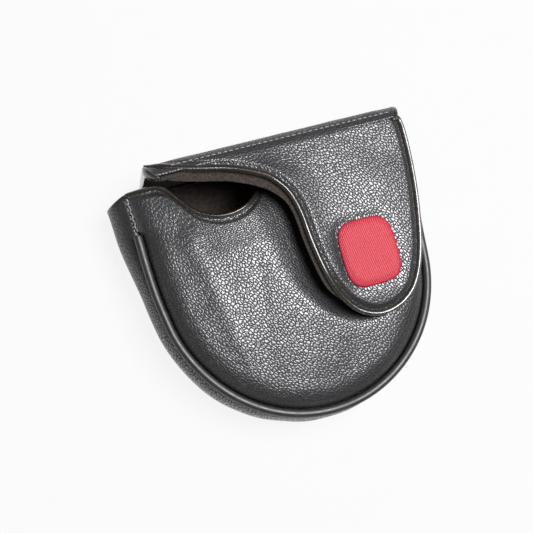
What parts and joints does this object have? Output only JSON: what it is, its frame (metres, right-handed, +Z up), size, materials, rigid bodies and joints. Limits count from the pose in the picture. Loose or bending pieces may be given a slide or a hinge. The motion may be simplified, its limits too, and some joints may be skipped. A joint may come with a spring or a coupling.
{
  "type": "putter head cover",
  "caption": "Padded half-round mallet putter head cover: piped pouch with a notched mouth, spine band and fold-over magnetic flap with a bare embroidered patch.",
  "frame": {"origin": "On the flat resting face of the back panel, under the centre of the round end's arc.", "axes": "+Z up through the pouch from the back panel to the flap, +X along the straight fold edge, +Y towards the fold, -Y to the round end."},
  "size_m": [0.1432, 0.132, 0.0501],
  "materials": {
    "pebbled_leather": "black pebbled synthetic leather, soft sheen",
    "smooth_binding": "black smooth synthetic leather tape",
    "piping": "black smooth vinyl bead",
    "plush": "black-brown short-pile plush",
    "padding": "grey soft foam sheet, hidden",
    "magnet": "nickel-plated disc magnet, hidden",
    "film": "thin translucent film, hidden",
    "patch_field": "red close embroidery",
    "patch_edge": "darker red satin-stitched border"
  },
  "bodies": {
    "pouch": {"front_panel": "pebbled_leather", "front_foam": "padding", "front_lining": "plush", "back_panel": "pebbled_leather", "back_foam": "padding", "back_lining": "plush", "gusset_panel": "pebbled_leather", "gusset_foam": "padding", "gusset_lining": "plush", "mouth_binding": "smooth_binding", "gusset_binding_left": "smooth_binding", "gusset_binding_right": "smooth_binding", "front_piping": "piping", "back_piping": "piping", "front_magnet": "magnet", "front_magnet_cup": "film"},
    "band": {"band_panel": "pebbled_leather", "band_foam": "padding", "band_lining": "plush", "band_binding_left": "smooth_binding", "band_binding_right": "smooth_binding"},
    "flap": {"flap_panel": "pebbled_leather", "flap_foam": "padding", "flap_lining": "plush", "flap_binding": "smooth_binding", "flap_magnet": "magnet", "flap_magnet_cup": "film", "patch_base": "patch_field", "patch_border": "patch_edge"}
  },
  "joints": [
    {"name": "band_hinge", "type": "hinge", "parent": "pouch", "child": "band", "pos_m": [0, 0.0672, 0], "axis": [-1, 0, 0], "range_deg": [0, 90]},
    {"name": "flap_hinge", "type": "hinge", "parent": "band", "child": "flap", "pos_m": [0, 0.0605, 0.04718], "axis": [-1, 0, 0], "range_deg": [0, 90]}
  ]
}
